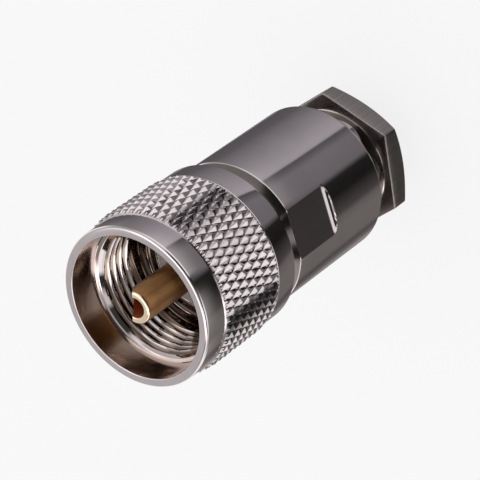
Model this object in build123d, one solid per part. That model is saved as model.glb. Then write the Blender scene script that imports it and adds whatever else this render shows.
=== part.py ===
from build123d import *
from math import cos, pi, radians, sin, tan
import os

# A UHF cable plug of the clamp type. The plug stands on the rear face of its clamp nut,
# with the origin on its axis there and +Z pointing out of the mating end.
# All sizes are in millimetres. A height is measured up from the origin.

# Stack along the axis, from the clamp nut's rear face to the coupling nut's rim.
hex_height = 2.95
neck_shown = 3.65
body_length = 17.37
nut_float = 1.15
float_clearance = 0.08
nut_collar_length = 4.95
relief_length = 2.1
thread_length = 5.3
lip_bore_depth = 3.9

# Clearances that the fits share.
running_clearance = 0.05
seat_clearance = 0.02

# Coupling nut, inside. The thread is 5/8-24, shown here as the bore of its crests.
thread_lead = 0.6
relief_depth = 0.7
lip_step = 0.45
lip_edge_chamfer = 0.15

# Coupling nut, outside.
lip_wall = 1.05
knurl_rise = 0.5
front_band_length = 3.35
rear_band_length = 3.15
rear_band_drop = 0.3
rim_chamfer = 0.3
band_chamfer = 0.25

# Its diamond knurl: two crossing sets of straight grooves, with pyramids left between them.
knurl_starts = 60
knurl_half_rows = 7
knurl_depth = 0.42

# Retaining ring, a split spring ring that the nut carries in a groove.
ring_thickness = 1.0
ring_bite = 0.7
ring_split = 2.0
ring_front_wall = 1.9
ring_split_angle = 64.4

# Plug body, front end.
neck_clear = 0.55
collar_thickness = 1.85
groove_depth = 0.9
barrel_step = 0.45
barrel_rise = 0.35
barrel_taper = 0.95
barrel_wall = 1.3
web_thickness = 1.2
web_step = 1.2
web_gap = 0.9
web_below_front = 1.52

# Plug body, rear end.
body_wall = 1.85
body_front_chamfer = 0.9
body_rear_chamfer = 0.2
flat_depth = 0.5
flat_length = 7.4
flat_angle = -115.6
chamber_step = 0.35
chamber_length = 6.4
seat_step = 1.15
rear_seat_depth = 2.3
clamp_bore_chamfer = 0.3

# Centre pin.
pin_radius = 1.95
pin_bore_radius = 1.2
pin_foot_rise = 0.3
pin_foot_shown = 0.1
pin_round = 0.35
pin_bore_chamfer = 0.1
notch_offset = 0.3
notch_lean = 32.0
notch_angle = 44.4
pin_collar_rise = 1.05
pin_cup_wall = 1.2
pin_cup_length = 5.4
pin_cup_chamfer = 0.2

# Insulators.
insulator_recess = 1.3
insulator_chamfer = 0.2

# Cable clamp parts behind the rear insulator.
braid_flange_thickness = 1.0
braid_clamp_length = 3.4
braid_cone_step = 0.6
braid_cone_fall = 0.8
braid_bore_radius = 3.7
braid_mouth_chamfer = 0.4
gasket_length = 2.7
gasket_groove_depth = 0.5
gasket_groove_width = 1.0
washer_thickness = 0.8
chamber_slip = 0.05

# Clamp nut.
cable_bore_radius = 5.3
clamp_neck_wall = 1.8
hex_shoulder = 0.8
hex_angle = 25.4
hex_face_inset = 0.2
hex_crown_angle = 30.0
hex_bevel = 0.15
cable_mouth_chamfer = 0.4
neck_tip_chamfer = 0.35

# Heights that several pieces share.
body_rear = hex_height + neck_shown
body_front = body_rear + body_length
nut_rear = body_front + nut_float + float_clearance
relief_floor = nut_rear + nut_collar_length
thread_end = relief_floor + relief_length
lip_floor = thread_end + thread_length
rim = lip_floor + lip_bore_depth
ring_top = relief_floor - ring_front_wall
ring_bottom = ring_top - ring_thickness
collar_rear = ring_top + running_clearance
neck_front = collar_rear + collar_thickness
barrel_front = neck_front + barrel_rise
knurl_rear = nut_rear + rear_band_length
knurl_front = rim - front_band_length
web_rear = body_front - web_below_front
web_front = web_rear + web_thickness
insulator_front = barrel_front - insulator_recess
seat_rear = web_rear - rear_seat_depth
chamber_rear = seat_rear - chamber_length
braid_rear = seat_rear - braid_clamp_length
gasket_rear = braid_rear - gasket_length
washer_rear = gasket_rear - washer_thickness

# Radii of the body's front end, outward from the pin.
pin_foot_radius = pin_radius + pin_foot_rise
pin_collar_radius = pin_radius + pin_collar_rise
pin_cup_radius = pin_bore_radius + pin_cup_wall
web_bore_radius = pin_collar_radius + web_gap
front_bore_radius = web_bore_radius + web_step
barrel_radius = front_bore_radius + barrel_wall
neck_radius = barrel_radius + barrel_step
nut_collar_bore = neck_radius + running_clearance
body_groove_radius = neck_radius - groove_depth
ring_inner_radius = body_groove_radius + running_clearance
ring_outer_radius = nut_collar_bore + ring_bite

# Radii of the coupling nut, outward from its thread.
thread_crest_radius = neck_radius + neck_clear
thread_mouth_radius = thread_crest_radius + thread_lead
relief_radius = thread_crest_radius + relief_depth
lip_bore_radius = thread_mouth_radius + lip_step
front_band_radius = lip_bore_radius + lip_wall
knurl_radius = front_band_radius + knurl_rise
rear_band_radius = knurl_radius - rear_band_drop

# Radii of the cable end, outward from the cable's jacket.
clamp_neck_radius = cable_bore_radius + clamp_neck_wall
clamp_bore_radius = clamp_neck_radius + running_clearance
body_radius = clamp_bore_radius + body_wall
chamber_radius = clamp_bore_radius - chamber_step
rear_seat_radius = chamber_radius - seat_step
braid_cone_base = chamber_radius - braid_cone_step
hex_apothem = clamp_neck_radius + hex_shoulder
hex_face_radius = hex_apothem - hex_face_inset


def rod(radius, low, high):
    """A solid cylinder on the axis between two heights."""
    return Pos(0, 0, low) * Cylinder(radius, high - low, align=(Align.CENTER, Align.CENTER, Align.MIN))


def taper(low_radius, high_radius, low, high):
    """A solid cone frustum on the axis between two heights."""
    frustum = Cone(low_radius, high_radius, high - low, align=(Align.CENTER, Align.CENTER, Align.MIN))
    return Pos(0, 0, low) * frustum


def ring_edges(part, radius, height):
    """The round edges of one radius at one height."""
    tolerance = 1e-4
    found = ShapeList()
    for edge in part.edges().filter_by(GeomType.CIRCLE):
        same_radius = abs(edge.radius - radius) < tolerance
        same_height = abs(edge.arc_center.Z - height) < tolerance
        if same_radius and same_height:
            found.append(edge)
    return found


def knurl_point(row, column):
    """A point of the knurl's lattice, where pyramid tips and groove crossings take turns."""
    on_tip = (row + column) % 2 == 0
    at_end = row in (0, knurl_half_rows)
    radius = knurl_radius if on_tip and not at_end else knurl_radius - knurl_depth
    angle = pi * column / knurl_starts
    height = knurl_rear + (knurl_front - knurl_rear) * row / knurl_half_rows
    return Vector(radius * cos(angle), radius * sin(angle), height)


def knurl_cell(row, column):
    """The two facets of a lattice cell, which meet along the groove that crosses it."""
    corners = [(row, column), (row, column + 1), (row + 1, column + 1), (row + 1, column)]
    if (row + column) % 2 == 0:
        corners = corners[1:] + corners[:1]
    one, two, three, four = [knurl_point(*corner) for corner in corners]
    return [Face(Wire.make_polygon([one, two, three])), Face(Wire.make_polygon([one, three, four]))]


def knurled_band():
    """The band of pyramids, lowered to the groove floors at both of its ends."""
    columns = range(2 * knurl_starts)
    faces = []
    for row in range(knurl_half_rows):
        for column in columns:
            faces += knurl_cell(row, column)
    for row in (0, knurl_half_rows):
        faces.append(Face(Wire.make_polygon([knurl_point(row, column) for column in columns])))
    return Solid(Shell(faces))


def coupling_nut_outside():
    """The knurled band between two plain bands, the nut's end edges broken."""
    rear_band = rod(rear_band_radius, nut_rear, knurl_rear)
    rear_band = chamfer(ring_edges(rear_band, rear_band_radius, nut_rear), band_chamfer)
    front_band = rod(front_band_radius, knurl_front, rim)
    front_band = chamfer(ring_edges(front_band, front_band_radius, rim), rim_chamfer)
    return knurled_band() + [rear_band, front_band]


def coupling_nut_inside():
    """What is bored away: lip, thread, relief, the retaining ring's groove and the collar."""
    bore = rod(lip_bore_radius, lip_floor, rim)
    bore += taper(lip_bore_radius, lip_bore_radius + lip_edge_chamfer, rim - lip_edge_chamfer, rim)
    bore += taper(thread_crest_radius, thread_mouth_radius, lip_floor - thread_lead, lip_floor)
    bore += rod(thread_crest_radius, thread_end, lip_floor)
    bore += rod(relief_radius, relief_floor, thread_end)
    bore += rod(nut_collar_bore, nut_rear, relief_floor)
    bore += taper(nut_collar_bore + band_chamfer, nut_collar_bore, nut_rear, nut_rear + band_chamfer)
    groove_radius = ring_outer_radius + running_clearance
    return bore + rod(groove_radius, ring_bottom - running_clearance, ring_top + running_clearance)


def coupling_nut():
    """The nut, with its bore taken out of its outside in one cut."""
    return coupling_nut_outside() - coupling_nut_inside()


def retaining_ring():
    """The split ring that sits in the nut's groove and slides in the body's wider one."""
    ring = rod(ring_outer_radius, ring_bottom, ring_top) - rod(ring_inner_radius, ring_bottom, ring_top)
    slit = Pos(ring_outer_radius, 0, (ring_bottom + ring_top) / 2)
    slit *= Box(2 * ring_outer_radius, ring_split, 2 * ring_thickness)
    return ring - Rot(0, 0, ring_split_angle) * slit


def wrench_flats():
    """The two slabs that are milled away to leave the wrench flats."""
    low = body_front - flat_length
    blank = Box(body_radius, 4 * body_radius, flat_length, align=(Align.MIN, Align.CENTER, Align.MIN))
    one = Pos(body_radius - flat_depth, 0, low) * blank
    return Rot(0, 0, flat_angle) * (one + Rot(0, 0, 180) * one)


def plug_body_outside():
    """The main cylinder with its flats, the neck with the ring groove, and the barrel's raised rim."""
    body = rod(body_radius, body_rear, body_front)
    body = chamfer(ring_edges(body, body_radius, body_front), body_front_chamfer)
    body = chamfer(ring_edges(body, body_radius, body_rear), body_rear_chamfer)
    body -= wrench_flats()
    body += rod(neck_radius, body_front, neck_front)
    body += taper(barrel_radius, barrel_radius - barrel_taper, neck_front, barrel_front)
    groove_rear = ring_bottom - nut_float - running_clearance
    groove = rod(neck_radius, groove_rear, collar_rear) - rod(body_groove_radius, groove_rear, collar_rear)
    return body - groove


def plug_body():
    """The body, bored from both ends to a web between the two insulators."""
    body = plug_body_outside()
    body -= rod(front_bore_radius, web_front, barrel_front)
    body -= rod(web_bore_radius, web_rear, web_front)
    body -= rod(rear_seat_radius, seat_rear, web_rear)
    body -= rod(chamber_radius, chamber_rear, seat_rear)
    body -= rod(clamp_bore_radius, body_rear, chamber_rear)
    return chamfer(ring_edges(body, clamp_bore_radius, body_rear), clamp_bore_chamfer)


def centre_pin():
    """The hollow pin, with its tip flush with the rim and cut aslant for the solder."""
    collar_rear_face = web_rear + seat_clearance
    collar_front_face = web_front - seat_clearance
    cup_rear = collar_rear_face - pin_cup_length
    pin = rod(pin_radius, collar_front_face, rim)
    pin = fillet(ring_edges(pin, pin_radius, rim), pin_round)
    pin += rod(pin_foot_radius, collar_front_face, insulator_front + pin_foot_shown)
    pin += rod(pin_collar_radius, collar_rear_face, collar_front_face)
    pin += rod(pin_cup_radius, cup_rear, collar_rear_face)
    pin = chamfer(ring_edges(pin, pin_cup_radius, cup_rear), pin_cup_chamfer)
    pin -= rod(pin_bore_radius, cup_rear, rim)
    pin = chamfer(ring_edges(pin, pin_bore_radius, rim), pin_bore_chamfer)
    notch = Box(pin_radius * 4, pin_radius * 4, pin_radius * 4, align=(Align.MIN, Align.CENTER, Align.CENTER))
    notch = Pos(notch_offset, 0, rim) * Rot(0, -notch_lean, 0) * notch
    return pin - Rot(0, 0, notch_angle) * notch


def front_insulator():
    """The bush that holds the pin in the contact barrel."""
    outer = front_bore_radius - seat_clearance
    bush = rod(outer, web_front, insulator_front)
    bush = chamfer(ring_edges(bush, outer, insulator_front), insulator_chamfer)
    return bush - rod(pin_foot_radius + seat_clearance, web_front, insulator_front)


def rear_insulator():
    """The washer-shaped insulator round the pin's solder cup."""
    disc = rod(rear_seat_radius - seat_clearance, seat_rear, web_rear)
    return disc - rod(pin_cup_radius + seat_clearance, seat_rear, web_rear)


def braid_clamp():
    """The flanged cone that the cable's braid is folded over."""
    flange_rear = seat_rear - braid_flange_thickness
    clamp = rod(chamber_radius - chamber_slip, flange_rear, seat_rear)
    clamp += taper(braid_cone_base - braid_cone_fall, braid_cone_base, braid_rear, flange_rear)
    clamp -= rod(braid_bore_radius, braid_rear, seat_rear)
    return chamfer(ring_edges(clamp, braid_bore_radius, braid_rear), braid_mouth_chamfer)


def cable_gasket():
    """The rubber ring that grips the cable's jacket, with a groove in its rear face."""
    outer = chamber_radius - chamber_slip
    middle = (outer + cable_bore_radius) / 2
    gasket = rod(outer, gasket_rear, braid_rear) - rod(cable_bore_radius, gasket_rear, braid_rear)
    half = gasket_groove_width / 2
    groove_top = gasket_rear + gasket_groove_depth
    groove = taper(middle + half, middle, gasket_rear, groove_top)
    groove -= taper(middle - half, middle, gasket_rear, groove_top)
    return gasket - groove


def clamp_washer():
    """The flat washer that lets the clamp nut turn without twisting the gasket."""
    outer = chamber_radius - chamber_slip
    inner = cable_bore_radius + chamber_slip
    return rod(outer, washer_rear, gasket_rear) - rod(inner, washer_rear, gasket_rear)


def clamp_nut():
    """The hexagon with its crowned rear face, and the threaded neck that enters the body."""
    outline = RegularPolygon(hex_apothem, 6, major_radius=False, rotation=hex_angle)
    head = extrude(outline, hex_height)
    head = chamfer(head.edges().group_by(Axis.Z)[-1], hex_bevel)
    crown_top = hex_face_radius + hex_height / tan(radians(hex_crown_angle))
    head &= taper(hex_face_radius, crown_top, 0, hex_height)
    nut = head + rod(clamp_neck_radius, hex_height, washer_rear)
    nut = chamfer(ring_edges(nut, clamp_neck_radius, washer_rear), neck_tip_chamfer)
    nut -= rod(cable_bore_radius, 0, washer_rear)
    return chamfer(ring_edges(nut, cable_bore_radius, 0), cable_mouth_chamfer)


pieces = {
    "coupling_nut": coupling_nut,
    "retaining_ring": retaining_ring,
    "plug_body": plug_body,
    "centre_pin": centre_pin,
    "front_insulator": front_insulator,
    "rear_insulator": rear_insulator,
    "braid_clamp": braid_clamp,
    "cable_gasket": cable_gasket,
    "clamp_washer": clamp_washer,
    "clamp_nut": clamp_nut,
}

os.makedirs("parts", exist_ok=True)
for name, make in pieces.items():
    piece = make()
    export_step(piece, f"parts/{name}.step")
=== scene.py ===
"""The looks of a UHF cable plug: its nickel and gold surfaces, its knurl and its threads, and
the light and the camera."""
import math

import bmesh
import bpy
from mathutils import Matrix, Vector


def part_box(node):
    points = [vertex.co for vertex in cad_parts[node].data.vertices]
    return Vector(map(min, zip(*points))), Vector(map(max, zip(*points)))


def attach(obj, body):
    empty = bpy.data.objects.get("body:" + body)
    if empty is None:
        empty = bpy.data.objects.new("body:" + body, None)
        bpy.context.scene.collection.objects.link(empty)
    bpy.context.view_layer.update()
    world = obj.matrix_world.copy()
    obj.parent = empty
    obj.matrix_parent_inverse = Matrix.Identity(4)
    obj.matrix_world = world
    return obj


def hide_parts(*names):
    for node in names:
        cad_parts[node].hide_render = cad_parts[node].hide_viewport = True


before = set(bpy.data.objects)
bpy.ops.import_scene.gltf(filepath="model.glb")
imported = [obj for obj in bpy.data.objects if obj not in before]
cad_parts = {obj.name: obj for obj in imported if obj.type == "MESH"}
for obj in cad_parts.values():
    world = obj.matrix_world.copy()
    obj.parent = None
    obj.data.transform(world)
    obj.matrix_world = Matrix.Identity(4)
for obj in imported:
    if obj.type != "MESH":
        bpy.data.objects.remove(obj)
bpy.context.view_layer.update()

# Lengths are in millimetres. The angles named here are in degrees, and a place's angle round
# the axis is in radians.
MM = 0.001


def extent(node):
    """A node's lowest and highest corner."""
    low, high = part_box(node)
    return low / MM, high / MM


nut_low, nut_high = extent("coupling_nut")
body_low, body_high = extent("plug_body")
clamp_high = extent("clamp_nut")[1]
pin_low, pin_high = extent("centre_pin")
bush_low, bush_high = extent("front_insulator")
disc_low, disc_high = extent("rear_insulator")
ring_low, ring_high = extent("retaining_ring")

# Coupling nut, outside. A round is how far an edge is eased on each side of its corner.
rim = nut_high.z
nut_rear = nut_low.z
knurl_radius = nut_high.x
knurl_front = rim - 3.35
knurl_rear = nut_rear + 3.15
knurl_depth = 0.42
knurl_wear = 0.07
knurl_starts = 60
knurl_diamonds = 3.5
diamond_length = (knurl_front - knurl_rear) / knurl_diamonds
cells_per_diamond = 8
knurl_rows = int(knurl_diamonds * cells_per_diamond)
front_band_radius = knurl_radius - 0.5
knurl_end_radius = front_band_radius + 0.12
rear_band_radius = knurl_radius - 0.3
rim_round = 0.36
rim_round_steps = 5
rear_band_round = 0.05
nut_rear_round = 0.28

# Coupling nut, inside.
lip_bore_radius = front_band_radius - 1.05
lip_bore_round = 0.12
lip_floor = rim - 3.9
lip_floor_cut = 0.06
thread_mouth_radius = lip_bore_radius - 0.45
thread_mouth_ledge = 0.03
thread_crest_radius = thread_mouth_radius - 0.6
thread_depth = 0.54
thread_pitch = 1.058
thread_end = lip_floor - 5.3
thread_end_round = 0.08
thread_inset = 0.02
thread_rows = 64
relief_radius = thread_crest_radius + 0.7
relief_floor = thread_end - 2.1
relief_round = 0.25
collar_bore_radius = 6.9
collar_front_round = 0.12
collar_rear_round = 0.25
ring_room = 0.05

# Plug body.
body_radius = body_high.x
body_rear = body_low.z
body_front = body_rear + 17.37
rear_bevel = 0.09
rear_bevel_length = 0.216
rear_bevel_round = 0.03
shoulder_cut = 0.9
shoulder_round = 0.1
shoulder_face_round = 0.08
neck_radius = 6.85
neck_foot_round = 0.1
neck_front_round = 0.15
nut_float = 1.15
ring_groove_radius = neck_radius - 0.9
ring_groove_round = 0.08
barrel_front = body_high.z
neck_front = barrel_front - 0.35
barrel_radius = 6.4
barrel_tip_radius = barrel_radius - 0.95
barrel_round = 0.05
front_bore_radius = 5.1
front_bore_round = 0.08
web_bore_radius = 3.9
rear_seat_radius = 5.65
chamber_radius = 6.8
chamber_rear = disc_low.z - 6.4
clamp_bore_radius = 7.15
clamp_bore_round = 0.3

# The body's two wrench flats, and how many columns lie across a flat and between the two.
flat_apothem = body_radius - 0.5
flat_end = body_front - 7.4
flat_direction = -115.6
flat_sector = 60
flat_columns = 24
round_columns = 96
cutter_radius = 0.8
cutter_steps = 8

# Centre pin.
pin_radius = 1.95
pin_tip_round = 0.35
# The pin's tip ring takes a painted highlight, fading in between these heights.
tip_highlight_fade = rim - 0.2
tip_highlight_start = rim - 0.1
pin_bore_radius = 1.2
pin_bore_round = 0.12
pin_bore_edge = pin_bore_radius + 0.03
pin_foot_radius = 2.25
pin_foot_front = bush_high.z + 0.1
pin_foot_round = 0.08
pin_collar_radius = pin_high.x
pin_room = 0.02
pin_cup_radius = 2.4
pin_cup_round = 0.2
pin_cup_bore_round = 0.1
pin_round_steps = 6
pin_columns = 96
notch_offset = 0.3
notch_lean = 32.0
notch_direction = 44.4

# Clamp nut.
hex_height = 2.95
hex_apothem = 7.9
hex_corner_radius = 9.09
hex_direction = 25.4
hex_face_radius = 7.7
hex_crown_angle = 30.0
hex_edge = 0.14
hex_edge_steps = 4
hex_side_columns = 36
clamp_neck_radius = 7.1
clamp_neck_round = 0.12
clamp_tip_radius = clamp_neck_radius - 0.5
cable_bore_radius = 5.3
cable_bore_round = 0.4
clamp_thread_start = body_rear - 0.9
clamp_thread_end = clamp_high.z - 0.35
clamp_thread_pitch = 1.0
clamp_thread_depth = 0.42
clamp_thread_rows = 78

# Half of a thread's flat crest and half of its flat root, as shares of its pitch.
crest_half = 0.09
root_half = 0.06

# Edges over these angles stay sharp. The flats meet the body's round at a small one.
sharp_angle = 28.0
body_sharp_angle = 14.0

# The floor lies below the plug by a little more than the 5 mm that the clamp nut backs out.
floor_drop = 5.2
floor_size = 12000.0
floor_colour = (0.952, 0.945, 0.95)
floor_glow = 0.85

# The camera, as fitted to the photograph: a pixel is one of 480 by 480.
frame_pixels = 480
focal_pixels = 2650
rim_pixel = Vector((134.6, 308.2))
rim_distance = 282.2
axis_tilt = 45.1
axis_roll = -35.83

# Scales of noise, in waves per metre, the part of its range that is stretched to the full, and
# the least and the most that it multiplies a roughness by.
cloud_scale = 180.0
finish_scale = 900.0
mottle_scale = 400.0
polymer_finish_scale = 1500.0
speck_scale = 3000.0
cloud_range = (0.35, 0.65)
finish_range = (0.3, 0.7)
finish_swing = (0.92, 1.1)
polymer_finish_swing = (0.9, 1.1)


def rounded(corners, steps=3):
    """The closed outline through (radius, height, ease) corners, each rounded over its ease."""
    points = []
    for index, (radius, height, ease) in enumerate(corners):
        here = Vector((radius, height))
        if ease == 0:
            points.append(here)
            continue
        before = Vector(corners[index - 1][:2])
        after = Vector(corners[(index + 1) % len(corners)][:2])
        start = here + (before - here).normalized() * ease
        end = here + (after - here).normalized() * ease
        for step in range(steps + 1):
            t = step / steps
            points.append(start * (1 - t) ** 2 + here * 2 * t * (1 - t) + end * t ** 2)
    return points


def plain(points):
    """Stations that are the same all the way round."""
    return [(point[0], point[1], "plain") for point in points]


def evenly(start, end, steps):
    """Values from start to end, both included."""
    return [start + (end - start) * step / steps for step in range(steps + 1)]


def even_angles(count, start=0.0):
    """Angles spaced evenly round the axis, in radians."""
    return [math.radians(start) + math.tau * index / count for index in range(count)]


def ring_mesh(name, stations, angles, place, sharp=sharp_angle, creased=()):
    """A closed mesh with a ring of points for each (radius, height, zone) station, where
    place(station, angle) gives a point's radius and height. Cells between creased stations are
    split in two."""
    rows = [[place(station, angle) for angle in angles] for station in stations]
    columns = len(angles)
    verts = []
    for row in rows:
        for (radius, height), angle in zip(row, angles):
            x = radius * math.cos(angle) * MM
            y = radius * math.sin(angle) * MM
            verts.append((x, y, height * MM))
    faces = []
    for i in range(len(stations)):
        below = (i + 1) % len(stations)
        split = stations[i] in creased and stations[below] in creased
        for j in range(columns):
            beside = (j + 1) % columns
            upper = i * columns
            lower = below * columns
            cell = (upper + j, upper + beside, lower + beside, lower + j)
            if split:
                radii = (rows[i][j][0], rows[i][beside][0], rows[below][beside][0], rows[below][j][0])
                middle = middle_radius(stations[i], stations[below], angles[j], place)
                faces += split_cell(cell, radii, middle)
            else:
                faces.append(cell)
    mesh = bpy.data.meshes.new(name)
    mesh.from_pydata(verts, [], faces)
    shade(mesh, sharp)
    piece = bpy.data.objects.new(name, mesh)
    bpy.context.scene.collection.objects.link(piece)
    return piece


def middle_radius(upper, lower, angle, place):
    """The true radius at the middle of a cell of the knurl."""
    middle = (upper[0], (upper[1] + lower[1]) / 2, upper[2])
    return place(middle, angle + math.tau / knurl_starts / cells_per_diamond / 2)[0]


def split_cell(cell, radii, middle):
    """A cell's two triangles, split along the diagonal that passes nearer its true middle."""
    a, b, c, d = cell
    one = (radii[0] + radii[2]) / 2
    other = (radii[1] + radii[3]) / 2
    if abs(one - middle) < abs(other - middle):
        return [(a, b, c), (a, c, d)]
    return [(a, b, d), (b, c, d)]


def shade(mesh, sharp):
    """Faces outwards, smooth within surfaces and sharp at edges over that angle."""
    work = bmesh.new()
    work.from_mesh(mesh)
    bmesh.ops.recalc_face_normals(work, faces=work.faces)
    work.to_mesh(mesh)
    work.free()
    mesh.shade_smooth()
    mesh.set_sharp_from_angle(angle=math.radians(sharp))


def helix_cut(height, angle, pitch, depth):
    """How deep a right-hand sixty-degree thread is cut at a place: 0 on its crests."""
    turn = height / pitch - angle / math.tau
    off_crest = abs(turn - round(turn))
    share = (off_crest - crest_half) / (0.5 - crest_half - root_half)
    return depth * min(1.0, max(0.0, share))


def knurl_cut(height, angle):
    """How far the diamond knurl lies below its points: two crossing sets of V grooves."""
    across = angle * knurl_starts / math.tau
    along = (height - knurl_rear) / diamond_length
    left = across + along
    right = across - along
    off_left = abs(left - round(left))
    off_right = abs(right - round(right))
    return knurl_depth * max(knurl_wear, 2 * max(off_left, off_right))


def nut_place(station, angle):
    """A point of the coupling nut, with its knurl and its thread."""
    radius, height, zone = station
    if zone == "knurl":
        return min(radius, knurl_radius - knurl_cut(height, angle)), height
    if zone == "thread":
        cut = helix_cut(height, angle, thread_pitch, thread_depth)
        return max(radius, thread_crest_radius + cut), height
    return radius, height


def knurl_stations():
    """The knurl's rows from the front to the rear, with a bevel at both ends."""
    row_height = diamond_length / cells_per_diamond
    stations = []
    for row in range(knurl_rows + 1):
        radius = knurl_end_radius if row in (0, knurl_rows) else knurl_radius
        stations.append((radius, knurl_front - row * row_height, "knurl"))
    return stations


def nut_stations(knurl):
    """The nut's outline, from the lip outwards, down the outside and back up the bore."""
    ring_groove = ring_high.x + ring_room
    ring_top = ring_high.z + ring_room
    ring_bottom = ring_low.z - ring_room
    front = rounded([
        (lip_bore_radius, lip_floor, 0),
        (lip_bore_radius, rim, lip_bore_round),
        (front_band_radius, rim, rim_round),
        (front_band_radius, knurl_front, 0),
    ], rim_round_steps)[1:]
    rear = rounded([
        (rear_band_radius, knurl_rear, rear_band_round),
        (rear_band_radius, nut_rear, nut_rear_round),
        (collar_bore_radius, nut_rear, collar_rear_round),
        (collar_bore_radius, ring_bottom, 0),
        (ring_groove, ring_bottom, 0),
        (ring_groove, ring_top, 0),
        (collar_bore_radius, ring_top, 0),
        (collar_bore_radius, relief_floor, collar_front_round),
        (relief_radius, relief_floor, relief_round),
        (relief_radius, thread_end, thread_end_round),
    ])
    thread = []
    for height in evenly(thread_end + thread_inset, lip_floor - thread_inset, thread_rows):
        mouth = thread_mouth_radius - (lip_floor - height)
        thread.append((max(thread_crest_radius, mouth), height, "thread"))
    step = [
        (thread_mouth_radius + thread_mouth_ledge, lip_floor),
        (lip_bore_radius - lip_floor_cut, lip_floor),
        (lip_bore_radius, lip_floor + lip_floor_cut),
    ]
    return plain(front) + knurl + plain(rear) + thread + plain(step)


def make_coupling_nut():
    """The nut with its knurl and its thread."""
    knurl = knurl_stations()
    angles = even_angles(knurl_starts * cells_per_diamond)
    return ring_mesh("nut_shell", nut_stations(knurl), angles, nut_place, creased=set(knurl))


def flat_radius(angle, rise):
    """How far out the two wrench flats reach at an angle, where the cutter had risen so far."""
    off = (math.degrees(angle) - flat_direction + 90) % 180 - 90
    if abs(off) > flat_sector:
        return body_radius
    return (flat_apothem + rise) / math.cos(math.radians(off))


def body_place(station, angle):
    """A point of the plug body, with its flats and their round ends."""
    radius, height, zone = station
    if zone == "flat":
        beyond = max(0.0, flat_end - height) / cutter_radius
        rise = (body_radius - flat_apothem) * (1 - math.sqrt(max(0.0, 1 - beyond * beyond)))
        return min(radius, flat_radius(angle, rise)), height
    return radius, height


def body_angles():
    """Angles in radians, of which some fall exactly on the edges of the flats."""
    half = math.degrees(math.acos(flat_apothem / body_radius))
    angles = []
    for side in (0, 180):
        middle = flat_direction + side
        angles += evenly(middle - half, middle + half, flat_columns)[:-1]
        angles += evenly(middle + half, middle + 180 - half, round_columns)[:-1]
    return [math.radians(angle) for angle in angles]


def body_stations():
    """The body's outline: outside from the rear to the barrel, then back through the bores."""
    groove_rear = ring_low.z - nut_float - ring_room
    groove_front = ring_high.z + ring_room
    rear = rounded([
        (clamp_bore_radius, chamber_rear, 0),
        (clamp_bore_radius, body_rear, clamp_bore_round),
        (body_radius - rear_bevel, body_rear, rear_bevel_round),
        (body_radius, body_rear + rear_bevel_length, rear_bevel_round),
        (body_radius, flat_end - cutter_radius, 0),
    ])[1:]
    cutter_end = []
    for step in range(1, cutter_steps):
        reach = cutter_radius * math.cos(math.pi / 2 * step / cutter_steps)
        cutter_end.append((body_radius, flat_end - reach, "flat"))
    flats = rounded([
        (body_radius, flat_end, 0),
        (body_radius, body_front - shoulder_cut, shoulder_round),
        (body_radius - shoulder_cut, body_front, shoulder_face_round),
        (neck_radius, body_front, neck_foot_round),
        (neck_radius, groove_rear, 0),
    ])[:-1]
    front = rounded([
        (neck_radius, groove_rear, ring_groove_round),
        (ring_groove_radius, groove_rear, ring_groove_round),
        (ring_groove_radius, groove_front, ring_groove_round),
        (neck_radius, groove_front, ring_groove_round),
        (neck_radius, neck_front, neck_front_round),
        (barrel_radius, neck_front, barrel_round),
        (barrel_tip_radius, barrel_front, barrel_round),
        (front_bore_radius, barrel_front, front_bore_round),
        (front_bore_radius, bush_low.z, 0),
        (web_bore_radius, bush_low.z, 0),
        (web_bore_radius, disc_high.z, 0),
        (rear_seat_radius, disc_high.z, 0),
        (rear_seat_radius, disc_low.z, 0),
        (chamber_radius, disc_low.z, 0),
        (chamber_radius, chamber_rear, 0),
        (clamp_bore_radius, chamber_rear, 0),
    ])
    flats = [(point[0], point[1], "flat") for point in flats]
    return plain(rear) + cutter_end + flats + plain(front)


def make_plug_body():
    """The turned body with its two wrench flats."""
    return ring_mesh("body_shell", body_stations(), body_angles(), body_place, body_sharp_angle)


def hex_radius(angle):
    """How far out the hexagon reaches at an angle, its corners just broken."""
    off = (math.degrees(angle) - hex_direction) % 60 - 30
    return min(hex_corner_radius, hex_apothem / math.cos(math.radians(off)))


def clamp_place(station, angle):
    """A point of the clamp nut: its hexagon, its crown and its thread. A radius in the zone
    hexagon is counted from the hexagon, and the crown needs neither radius nor height."""
    radius, height, zone = station
    if zone == "hexagon":
        return hex_radius(angle) + radius, height
    if zone == "crown":
        reach = hex_radius(angle)
        return reach, (reach - hex_face_radius) * math.tan(math.radians(hex_crown_angle))
    if zone == "thread":
        return radius - helix_cut(height, angle, clamp_thread_pitch, clamp_thread_depth), height
    return radius, height


def clamp_stations():
    """The clamp nut's outline: rear face, crown, hexagon, neck and thread, then the bore."""
    tip = clamp_high.z
    rear = rounded([
        (cable_bore_radius, tip, 0),
        (cable_bore_radius, 0, cable_bore_round),
        (hex_face_radius, 0, 0),
    ])[1:]
    hexagon = [(0, 0, "crown")]
    for turn in evenly(0, math.pi / 2, hex_edge_steps):
        inset = hex_edge * (1 - math.cos(turn))
        drop = hex_edge * (1 - math.sin(turn))
        hexagon.append((-inset, hex_height - drop, "hexagon"))
    # The last corner only gives the first one's round its direction.
    neck = rounded([
        (clamp_neck_radius, hex_height, clamp_neck_round),
        (clamp_neck_radius, clamp_thread_start, 0),
        (clamp_neck_radius - 1, clamp_thread_start, 0),
    ])[:-1]
    heights = evenly(clamp_thread_start, clamp_thread_end, clamp_thread_rows)[1:]
    thread = [(clamp_neck_radius, height, "thread") for height in heights]
    front = [(clamp_tip_radius, tip), (cable_bore_radius, tip)]
    return plain(rear) + hexagon + plain(neck) + thread + plain(front)


def make_clamp_nut():
    """The crowned hexagon with its threaded neck."""
    angles = even_angles(6 * hex_side_columns, hex_direction)
    return ring_mesh("clamp_shell", clamp_stations(), angles, clamp_place)


def pin_place(station, angle):
    """A point of the pin before its notch is cut: it is round all over."""
    return station[:2]


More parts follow.
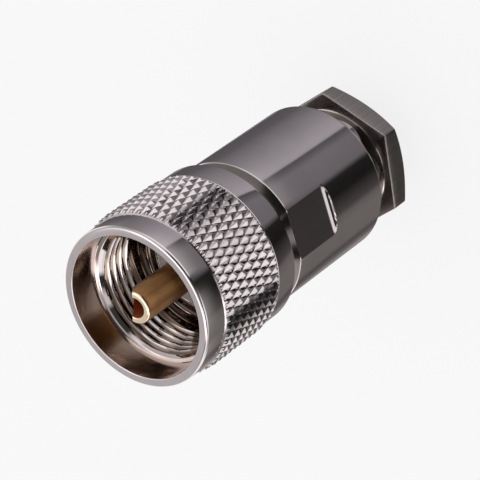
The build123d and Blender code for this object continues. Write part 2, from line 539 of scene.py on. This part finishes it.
def make_notch_cutter():
    """A block whose near face is the slanting cut at the pin's tip."""
    bpy.ops.mesh.primitive_cube_add(size=1)
    cutter = bpy.context.object
    reach = 4 * pin_radius * MM
    sized = Matrix.Diagonal((reach, reach, reach, 1)) @ Matrix.Translation((0.5, 0, 0))
    lean = Matrix.Rotation(math.radians(-notch_lean), 4, "Y")
    out = Matrix.Translation(Vector((notch_offset, 0, rim)) * MM)
    turn = Matrix.Rotation(math.radians(notch_direction), 4, "Z")
    cutter.data.transform(sized)
    cutter.data.transform(turn @ out @ lean)
    return cutter


def make_centre_pin():
    """The hollow pin, its tip cut aslant on one side."""
    outline = rounded([
        (pin_bore_radius, pin_low.z, pin_cup_bore_round),
        (pin_cup_radius, pin_low.z, pin_cup_round),
        (pin_cup_radius, disc_high.z + pin_room, 0),
        (pin_collar_radius, disc_high.z + pin_room, 0),
        (pin_collar_radius, bush_low.z - pin_room, 0),
        (pin_foot_radius, bush_low.z - pin_room, 0),
        (pin_foot_radius, pin_foot_front, pin_foot_round),
        (pin_radius, pin_foot_front, 0),
        (pin_radius, rim, pin_tip_round),
        (pin_bore_radius, rim, pin_bore_round),
    ], pin_round_steps)
    pin = ring_mesh("pin_shell", plain(outline), even_angles(pin_columns), pin_place)
    cutter = make_notch_cutter()
    cut = pin.modifiers.new("notch", "BOOLEAN")
    cut.object = cutter
    cut.operation = "DIFFERENCE"
    cut.solver = "EXACT"
    graph = bpy.context.evaluated_depsgraph_get()
    notched = bpy.data.meshes.new_from_object(pin.evaluated_get(graph))
    pin.modifiers.clear()
    pin.data = notched
    bpy.data.objects.remove(cutter)
    shade(notched, sharp_angle)
    return pin


class Nodes:
    """A short way to write a node tree. A value is a plain number or another node's output."""

    def __init__(self, tree):
        self.tree = tree

    def feed(self, socket, value):
        """Sets a socket, or links an output to it."""
        if isinstance(value, bpy.types.NodeSocket):
            self.tree.links.new(value, socket)
        else:
            socket.default_value = value

    def add(self, kind, inputs=(), **settings):
        """A new node, with its settings and its inputs by name or number."""
        node = self.tree.nodes.new(kind)
        for name, value in settings.items():
            setattr(node, name, value)
        for name, value in dict(inputs).items():
            self.feed(node.inputs[name], value)
        return node

    def math(self, operation, first, second=0.0):
        """An operation of arithmetic on one value or two."""
        return self.add("ShaderNodeMath", {0: first, 1: second}, operation=operation).outputs[0]

    def over(self, value, limit):
        """1 where the value is over the limit, and 0 elsewhere."""
        return self.math("GREATER_THAN", value, limit)

    def under(self, value, limit):
        """1 where the value is under the limit, and 0 elsewhere."""
        return self.math("LESS_THAN", value, limit)

    def product(self, value, *others):
        """All the values multiplied. Of shares, it is where all of them hold."""
        for other in others:
            value = self.math("MULTIPLY", value, other)
        return value

    def spread(self, value, low, high, to_low, to_high, smooth=False):
        """The range from low to high stretched to another, and held at its ends."""
        kind = "SMOOTHSTEP" if smooth else "LINEAR"
        inputs = {"Value": value, "From Min": low, "From Max": high, "To Min": to_low, "To Max": to_high}
        return self.add("ShaderNodeMapRange", inputs, interpolation_type=kind).outputs[0]

    def noise(self, place, scale, detail=3.0):
        """Soft noise from 0 to 1."""
        inputs = {"Vector": place, "Scale": scale, "Detail": detail}
        return self.add("ShaderNodeTexNoise", inputs).outputs["Fac"]

    def mix(self, share, first, second):
        """A colour between two others: the first where the share is 0."""
        inputs = {"Factor": share, "A": first, "B": second}
        return self.add("ShaderNodeMix", inputs, data_type="RGBA").outputs["Result"]

    def object_place(self):
        """A place on the piece, in metres."""
        return self.add("ShaderNodeTexCoord").outputs["Object"]

    def round_place(self, place):
        """A place's distance from the axis and its height, in millimetres."""
        parts = self.add("ShaderNodeSeparateXYZ", {0: place}).outputs
        squares = self.math("ADD", self.product(parts[0], parts[0]), self.product(parts[1], parts[1]))
        radius = self.math("DIVIDE", self.math("SQRT", squares), MM)
        height = self.math("DIVIDE", parts[2], MM)
        return radius, height


def new_material(name):
    """A material, its node tree and its shader."""
    material = bpy.data.materials.new(name)
    material.use_nodes = True
    tree = material.node_tree
    return material, Nodes(tree), tree.nodes["Principled BSDF"]


def opaque(colour):
    """A colour with the fourth value that a socket needs."""
    return (*colour, 1)


def vary_finish(nodes, shader, place, scale, roughness, swing):
    """A roughness that wavers over the surface."""
    least, most = swing
    fine = nodes.noise(place, scale)
    rough = nodes.spread(fine, *finish_range, roughness * least, roughness * most)
    nodes.feed(shader.inputs["Roughness"], rough)


def emboss(nodes, shader, pattern, height):
    """Relief too fine to be modelled, its height in millimetres."""
    inputs = {"Height": pattern, "Strength": 1.0, "Distance": height * MM}
    nodes.feed(shader.inputs["Normal"], nodes.add("ShaderNodeBump", inputs).outputs[0])


def metal(name, colour, tint, roughness, grain="turned", grain_scale=5.0, grain_height=0.0):
    """Plated metal. Its grain, in waves per millimetre, runs round it where turned and along it
    where drawn, and drawn metal takes its tint along the grain too."""
    material, nodes, shader = new_material(name)
    place = nodes.object_place()
    if grain == "turned":
        radius, height = nodes.round_place(place)
        across = nodes.add("ShaderNodeCombineXYZ", {0: radius, 2: height}).outputs[0]
    else:
        inputs = {0: place, 1: (1 / MM, 1 / MM, 0)}
        across = nodes.add("ShaderNodeVectorMath", inputs, operation="MULTIPLY").outputs[0]
    lines = nodes.noise(across, grain_scale, detail=2.0)
    patches = lines if grain == "drawn" else nodes.noise(place, cloud_scale)
    share = nodes.spread(patches, *cloud_range, 0.0, 1.0)
    nodes.feed(shader.inputs["Base Color"], nodes.mix(share, opaque(colour), opaque(tint)))
    shader.inputs["Metallic"].default_value = 1.0
    vary_finish(nodes, shader, place, finish_scale, roughness, finish_swing)
    emboss(nodes, shader, lines, grain_height)
    return material


def plastic(name, colour, tint, roughness, speck_height):
    """A matt polymer, faintly mottled."""
    material, nodes, shader = new_material(name)
    place = nodes.object_place()
    share = nodes.noise(place, mottle_scale)
    nodes.feed(shader.inputs["Base Color"], nodes.mix(share, opaque(colour), opaque(tint)))
    vary_finish(nodes, shader, place, polymer_finish_scale, roughness, polymer_finish_swing)
    emboss(nodes, shader, nodes.noise(place, speck_scale), speck_height)
    return material


def refinish(material, share_of, colour, roughness):
    """Another base colour and roughness where share_of(nodes, radius, height) is 1."""
    nodes = Nodes(material.node_tree)
    shader = nodes.tree.nodes["Principled BSDF"]
    radius, height = nodes.round_place(nodes.object_place())
    share = share_of(nodes, radius, height)
    base = shader.inputs["Base Color"]
    nodes.feed(base, nodes.mix(share, base.links[0].from_socket, opaque(colour)))
    finish = shader.inputs["Roughness"]
    old = finish.links[0].from_socket
    change = nodes.product(nodes.math("SUBTRACT", roughness, old), share)
    nodes.feed(finish, nodes.math("ADD", old, change))


def thread_roots(nodes, radius, height):
    """The nut's thread, all but the crests, and its relief, which are painted dark brown: part oil and
    part painted shade.
    """
    crest_end = thread_crest_radius + 0.04
    root_start = thread_crest_radius + 0.25
    widest = lip_bore_radius - 0.05
    # Heights over which the oil and painted shade in the thread fade out towards the lip.
    dirt_and_shade_front = lip_floor - 0.6
    dirt_and_shade_end = lip_floor - 0.3
    off_crest = nodes.spread(radius, crest_end, root_start, 0.0, 1.0, smooth=True)
    inside = nodes.under(radius, widest)
    behind = nodes.spread(height, dirt_and_shade_front, dirt_and_shade_end, 1.0, 0.0)
    return nodes.product(off_crest, inside, behind)


def lip_bore(nodes, radius, height):
    """The plain bore inside the nut's lip, painted warm and lighter as a painted reflection."""
    margin = 0.02
    bore_rear = lip_floor + 0.1
    bore_front = rim - 0.15
    wall = nodes.product(nodes.under(radius, lip_bore_radius + margin),
                         nodes.over(radius, lip_bore_radius - margin))
    between = nodes.product(nodes.under(height, bore_front), nodes.over(height, bore_rear))
    return nodes.product(wall, between)


def shoulder(nodes, radius, height):
    """The body's front shoulder, where the coupling nut shuts against it, painted dark as painted shade
    in the gap.
    """
    shoulder_rear = body_front - shoulder_cut + 0.08
    outside = nodes.over(radius, neck_radius + neck_foot_round)
    return nodes.product(outside, nodes.over(height, shoulder_rear))


def clamp_face(nodes, radius, height):
    """The hexagon's face round the neck, painted dark as painted shade under the body."""
    just_below = hex_height - 0.01
    outside = nodes.over(radius, clamp_neck_radius + clamp_neck_round)
    return nodes.product(outside, nodes.over(height, just_below))


def clamp_neck(nodes, radius, height):
    """The clamp nut's neck and thread."""
    neck_rear = hex_height - 0.05
    inside = nodes.under(radius, clamp_neck_radius + clamp_neck_round)
    return nodes.product(inside, nodes.over(height, neck_rear))


def pin_tip(nodes, radius, height):
    """The pin's foremost ring, which takes a painted highlight."""
    outside = nodes.over(radius, pin_bore_edge)
    return nodes.product(outside, nodes.spread(height, tip_highlight_fade, tip_highlight_start, 0.0, 1.0))


def pin_bore(nodes, radius, height):
    """The inside of the pin."""
    return nodes.under(radius, pin_bore_edge)


def nut_nickel():
    """Bright plate, dark brown in the thread's roots, part oil and part painted shade, and warm and
    lighter in the lip bore, a painted reflection.
    """
    colour = (0.68, 0.65, 0.66)
    tint = (0.63, 0.6, 0.61)
    material = metal("nut_nickel", colour, tint, 0.06, grain_height=0.0004)
    # Painted shade in the thread's roots, with some oil: darker brown off the crests.
    refinish(material, thread_roots, (0.2, 0.155, 0.12), 0.07)
    # A painted reflection: the lip bore warm and lighter than the plate.
    refinish(material, lip_bore, (0.85, 0.68, 0.57), 0.16)
    return material


def body_nickel():
    """Turned and plated, painted dark on the shoulder as painted shade in the gap behind the coupling
    nut.
    """
    colour = (0.66, 0.63, 0.645)
    tint = (0.61, 0.58, 0.595)
    material = metal("body_nickel", colour, tint, 0.09, grain_height=0.001)
    # Painted shade: the shoulder dark in the gap behind the coupling nut.
    refinish(material, shoulder, (0.2, 0.185, 0.18), 0.2)
    return material


def clamp_nickel():
    """Brushed and dark on the hexagon, painted dark on its face as painted shade under the body, and as
    bright as the body on the neck.
    """
    colour = (0.32, 0.3, 0.292)
    tint = (0.26, 0.243, 0.235)
    material = metal("clamp_nickel", colour, tint, 0.15, "drawn", grain_scale=6.0, grain_height=0.0005)
    # Painted shade: the hexagon's face dark under the body.
    refinish(material, clamp_face, (0.2, 0.178, 0.165), 0.2)
    refinish(material, clamp_neck, (0.64, 0.61, 0.6), 0.06)
    return material


def inner_nickel():
    """Plain plate for the pieces inside."""
    return metal("inner_nickel", (0.6, 0.58, 0.57), (0.55, 0.53, 0.52), 0.2, grain_height=0.004)


def pin_gold():
    """Gold in dark and light streaks along the pin, which are painted reflections, paler and brighter at
    the tip ring as a painted highlight, and copper-red in the bore.
    """
    # The two golds give the dark and light streaks along the pin: painted reflections.
    colour = (0.68, 0.42, 0.18)
    tint = (0.36, 0.19, 0.08)
    material = metal("pin_gold", colour, tint, 0.3, "drawn", grain_scale=0.55)
    # A painted highlight: the pin's tip ring paler and brighter.
    refinish(material, pin_tip, (1.0, 0.85, 0.62), 0.15)
    refinish(material, pin_bore, (0.75, 0.34, 0.18), 0.5)
    return material


def spring_bronze():
    """Plain phosphor bronze."""
    return metal("spring_bronze", (0.6, 0.42, 0.25), (0.52, 0.35, 0.2), 0.25, grain_height=0.002)


def ptfe():
    """Matt white insulation."""
    return plastic("ptfe", (0.86, 0.85, 0.82), (0.8, 0.79, 0.76), 0.5, 0.002)


def gasket_rubber():
    """Matt black rubber."""
    return plastic("gasket_rubber", (0.05, 0.05, 0.05), (0.035, 0.035, 0.035), 0.6, 0.004)


def dress(piece, material):
    """The piece has this material and no other."""
    piece.data.materials.clear()
    piece.data.materials.append(material)


def make_camera():
    """The photograph's camera, placed by the rim's centre and the direction of the axis."""
    tilt = math.radians(axis_tilt)
    roll = math.radians(axis_roll)
    # Directions as the camera sees them: to the right, down and forwards.
    across = (rim_pixel.x - frame_pixels / 2) / focal_pixels
    down = (rim_pixel.y - frame_pixels / 2) / focal_pixels
    rim_seen = Vector((across, down, 1)).normalized() * rim_distance
    sideways = math.sin(tilt)
    rearward = Vector((sideways * math.cos(roll), sideways * math.sin(roll), math.cos(tilt)))
    # From the axis straight towards the camera.
    near = (-rim_seen + rearward * rim_seen.dot(rearward)).normalized()
    side = rearward.cross(near)
    # The world's X, Y and Z, as the camera sees them.
    world_in_camera = Matrix((-side, -near, -rearward)).transposed()
    origin_seen = rim_seen - world_in_camera @ Vector((0, 0, rim))
    camera_in_world = world_in_camera.transposed()
    right = camera_in_world @ Vector((1, 0, 0))
    up = camera_in_world @ Vector((0, -1, 0))
    back = camera_in_world @ Vector((0, 0, -1))
    data = bpy.data.cameras.new("camera")
    data.sensor_width = 36.0
    data.lens = data.sensor_width * focal_pixels / frame_pixels
    data.clip_start = 0.01
    data.clip_end = 20.0
    camera = bpy.data.objects.new("camera", data)
    place = Matrix((right, up, back)).transposed().to_4x4()
    place.translation = -(camera_in_world @ origin_seen) * MM
    camera.matrix_world = place
    bpy.context.scene.collection.objects.link(camera)
    bpy.context.scene.camera = camera


def make_floor():
    """A pale floor that keeps a faint shadow. Polished surfaces see the studio in its place."""
    bpy.ops.mesh.primitive_plane_add(size=floor_size * MM, location=(0, 0, -floor_drop * MM))
    floor = bpy.context.object
    floor.name = "floor"
    material, nodes, shader = new_material("pale_floor")
    shader.inputs["Base Color"].default_value = opaque(floor_colour)
    shader.inputs["Roughness"].default_value = 0.9
    glow = nodes.add("ShaderNodeEmission", {"Color": opaque(floor_colour), "Strength": 1.0})
    rays = nodes.add("ShaderNodeLightPath").outputs
    seen = nodes.math("MAXIMUM", rays["Is Glossy Ray"], rays["Is Transmission Ray"])
    seen = nodes.math("MAXIMUM", rays["Is Camera Ray"], seen)
    share = nodes.product(seen, floor_glow)
    both = nodes.add("ShaderNodeMixShader", {0: share, 1: shader.outputs[0], 2: glow.outputs[0]})
    nodes.feed(nodes.tree.nodes["Material Output"].inputs["Surface"], both.outputs[0])
    floor.data.materials.append(material)
    floor.visible_glossy = False


# The studio round the plug: rings of lights and dark cards, each a list of angles round the axis
# and strengths. An angle runs from -Y towards -X.
paper_ring = [(-180, 0.7), (-60, 0.9), (60, 0.9), (180, 0.7)]
low_ring = [
    (-180, 0.05), (-173, 0.05), (-168, 0.34), (-156, 0.1), (-122, 0.14), (-45, 0.49),
    (-40, 0.48), (-38, 0.1), (-24, 0.23), (9, 0.2), (17, 0.02), (38, 0.014),
    (64, 0.08), (72, 0.17), (84, 0.2), (118, 0.19), (130, 0.1), (144, 0.18),
    (156, 0.32), (168, 0.32), (173, 0.05), (180, 0.05),
]
horizon_ring = [
    (-180, 1.05), (-158, 1.3), (-118, 1.3), (-106, 0.5), (-84, 0.42), (-72, 0.8),
    (-60, 1.2), (-30, 1.3), (4, 1.1), (9, 0.05), (20, 0.05), (28, 0.25),
    (36, 0.8), (46, 1.1), (60, 1.3), (74, 1.0), (86, 0.6), (98, 0.4),
    (108, 1.2), (118, 1.35), (140, 1.25), (180, 1.05),
]
sky_ring = [
    (-180, 0.6), (-125, 0.65), (-36, 0.6), (-31, 0.03), (74, 0.03), (82, 1.3),
    (122, 1.3), (136, 0.6), (180, 0.6),
]
top_ring = [
    (-180, 0.6), (-130, 1.3), (-60, 1.4), (-36, 0.8), (-26, 0.05), (22, 0.05),
    (32, 0.8), (52, 0.8), (62, 3.0), (98, 3.0), (112, 0.3), (150, 0.35),
    (165, 0.6), (180, 0.6),
]
zenith_ring = [(-180, 2.2), (-100, 2.0), (-80, 0.4), (80, 0.4), (100, 2.0), (180, 2.2)]
cool_light = (1.0, 0.935, 0.985)
warm_light = (1.0, 0.92, 0.88)
even_light = (1.0, 0.95, 0.94)
warm_from = 15
studio_radius = 3000.0

# Each ring above the paper, its light on the left and on the right, and the elevations over
# which it takes over from the ring below.
studio_rings = [
    (low_ring, cool_light, warm_light, -82.0, -76.0),
    (horizon_ring, even_light, even_light, -42.5, -26.0),
    (sky_ring, even_light, even_light, 0.0, 8.0),
    (top_ring, even_light, even_light, 41.0, 44.5),
    (zenith_ring, even_light, even_light, 52.0, 60.0),
]


def ring_light(nodes, turn, ring, left, right):
    """The light of one ring, by the share of a turn."""
    ramp = nodes.add("ShaderNodeValToRGB", {0: turn})
    stops = ramp.color_ramp.elements
    while len(stops) > 1:
        stops.remove(stops[-1])
    for index, (angle, strength) in enumerate(ring):
        tint = right if angle > warm_from else left
        stop = stops[0] if index == 0 else stops.new(angle / 360 + 0.5)
        stop.color = opaque([strength * part for part in tint])
    stops[0].position = 0.0
    return ramp.outputs["Color"]


def make_studio():
    """A dome of soft boxes and dark cards, far away, that only polished surfaces see."""
    bpy.ops.mesh.primitive_uv_sphere_add(segments=96, ring_count=48, radius=studio_radius * MM)
    dome = bpy.context.object
    dome.name = "studio"
    material, nodes, shader = new_material("studio_lights")
    nodes.tree.nodes.remove(shader)
    inputs = {0: nodes.object_place()}
    unit = nodes.add("ShaderNodeVectorMath", inputs, operation="NORMALIZE").outputs[0]
    parts = nodes.add("ShaderNodeSeparateXYZ", {0: unit}).outputs
    to_minus_x = nodes.product(parts[0], -1.0)
    to_minus_y = nodes.product(parts[1], -1.0)
    turn = nodes.math("DIVIDE", nodes.math("ARCTAN2", to_minus_x, to_minus_y), math.tau)
    turn = nodes.math("ADD", turn, 0.5)
    elevation = nodes.product(nodes.math("ARCSINE", parts[2]), math.degrees(1))
    light = ring_light(nodes, turn, paper_ring, even_light, even_light)
    for ring, left, right, start, end in studio_rings:
        share = nodes.spread(elevation, start, end, 0.0, 1.0, smooth=True)
        light = nodes.mix(share, light, ring_light(nodes, turn, ring, left, right))
    glow = nodes.add("ShaderNodeEmission", {"Color": light, "Strength": 1.0})
    nodes.feed(nodes.tree.nodes["Material Output"].inputs["Surface"], glow.outputs[0])
    material.cycles.emission_sampling = "NONE"
    dome.data.materials.append(material)
    dome.visible_camera = False
    dome.visible_diffuse = False
    dome.visible_shadow = False
    dome.visible_transmission = False
    dome.visible_volume_scatter = False


def make_world():
    """Even white light on the floor and on what isn't polished."""
    world = bpy.data.worlds.new("light_tent")
    world.use_nodes = True
    background = world.node_tree.nodes["Background"]
    background.inputs["Color"].default_value = (1, 1, 1, 1)
    background.inputs["Strength"].default_value = 0.98
    bpy.context.scene.world = world


def main():
    """The camera and the light, then the pieces and their finishes."""
    bpy.context.scene.view_settings.view_transform = "Standard"
    make_camera()
    make_world()
    make_floor()
    make_studio()

    # The pieces that have finer detail here than their solids.
    pieces = [
        (make_coupling_nut(), nut_nickel(), "coupling", "nut_nickel", "coupling_nut"),
        (make_plug_body(), body_nickel(), "plug", "body_nickel", "plug_body"),
        (make_clamp_nut(), clamp_nickel(), "clamp", "clamp_nickel", "clamp_nut"),
        (make_centre_pin(), pin_gold(), "plug", "pin_gold", "centre_pin"),
    ]
    for piece, finish, body, slot, node in pieces:
        dress(piece, finish)
        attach(piece, body)
        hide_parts(node)

    # The pieces that keep the shape of their solids and only take a finish.
    insulation = ptfe()
    plate = inner_nickel()
    kept = {
        "retaining_ring": spring_bronze(),
        "front_insulator": insulation,
        "rear_insulator": insulation,
        "braid_clamp": plate,
        "clamp_washer": plate,
        "cable_gasket": gasket_rubber(),
    }
    for node, finish in kept.items():
        dress(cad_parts[node], finish)


main()
